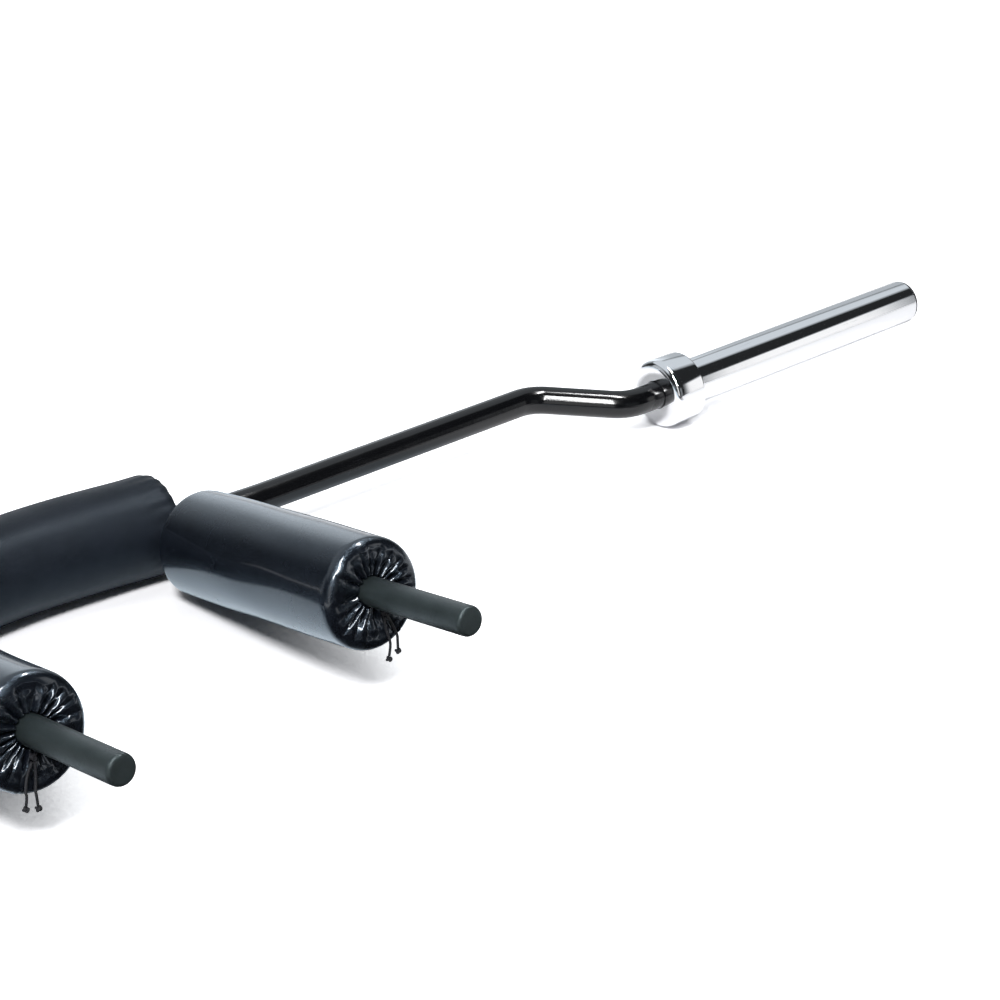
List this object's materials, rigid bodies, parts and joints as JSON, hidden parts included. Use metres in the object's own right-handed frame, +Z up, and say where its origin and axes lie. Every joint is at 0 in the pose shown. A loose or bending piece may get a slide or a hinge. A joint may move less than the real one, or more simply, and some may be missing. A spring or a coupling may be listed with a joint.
{
  "type": "safety squat bar",
  "caption": "Cambered barbell with a padded neck and shoulder yoke, two forward grip handles and spinning chrome plate sleeves.",
  "frame": {"origin": "on the floor, under the middle of the whole bar's box", "axes": "+X along the bar towards one sleeve, -Y the way the handles point, +Z up as the bar lies on a floor"},
  "size_m": [2.3302, 0.5357, 0.1567],
  "materials": {
    "black_paint": "gloss",
    "chrome": "polished",
    "plain_steel": "satin",
    "bearing_bronze": "satin",
    "black_plastic": "satin",
    "grip_rubber": "matte",
    "neck_vinyl": "satin",
    "shoulder_vinyl": "gloss",
    "foam": "matte",
    "cord": "matte"
  },
  "bodies": {
    "bar": {"shaft": "black_paint", "left_arm_tube": "black_paint", "right_arm_tube": "black_paint", "left_arm_weld": "black_paint", "right_arm_weld": "black_paint", "neck_pad_cover": "neck_vinyl", "neck_pad_foam": "foam", "neck_pad_left_elastic": "cord", "neck_pad_right_elastic": "cord", "left_shoulder_cover": "shoulder_vinyl", "right_shoulder_cover": "shoulder_vinyl", "left_shoulder_foam": "foam", "right_shoulder_foam": "foam", "left_shoulder_elastic": "cord", "right_shoulder_elastic": "cord", "left_drawcord": "cord", "right_drawcord": "cord", "left_drawcord_knot": "cord", "right_drawcord_knot": "cord", "left_tail_a": "cord", "left_tail_b": "cord", "right_tail_a": "cord", "right_tail_b": "cord", "left_tail_a_knot": "cord", "left_tail_b_knot": "cord", "right_tail_a_knot": "cord", "right_tail_b_knot": "cord", "left_grip": "grip_rubber", "right_grip": "grip_rubber", "left_thrust_washer": "plain_steel", "right_thrust_washer": "plain_steel", "left_retaining_washer": "plain_steel", "right_retaining_washer": "plain_steel", "left_retaining_bolt": "plain_steel", "right_retaining_bolt": "plain_steel"},
    "left_sleeve": {"left_collar": "chrome", "left_sleeve_tube": "chrome", "left_inner_bush": "bearing_bronze", "left_outer_bush": "bearing_bronze", "left_end_cap": "black_plastic"},
    "right_sleeve": {"right_collar": "chrome", "right_sleeve_tube": "chrome", "right_inner_bush": "bearing_bronze", "right_outer_bush": "bearing_bronze", "right_end_cap": "black_plastic"}
  },
  "joints": [
    {"name": "left_sleeve_spin", "type": "hinge", "parent": "bar", "child": "left_sleeve", "pos_m": [-0.76035, 0.11557, 0.038], "axis": [-1, 0, 0], "continuous": true},
    {"name": "right_sleeve_spin", "type": "hinge", "parent": "bar", "child": "right_sleeve", "pos_m": [0.76035, 0.11557, 0.038], "axis": [1, 0, 0], "continuous": true}
  ]
}
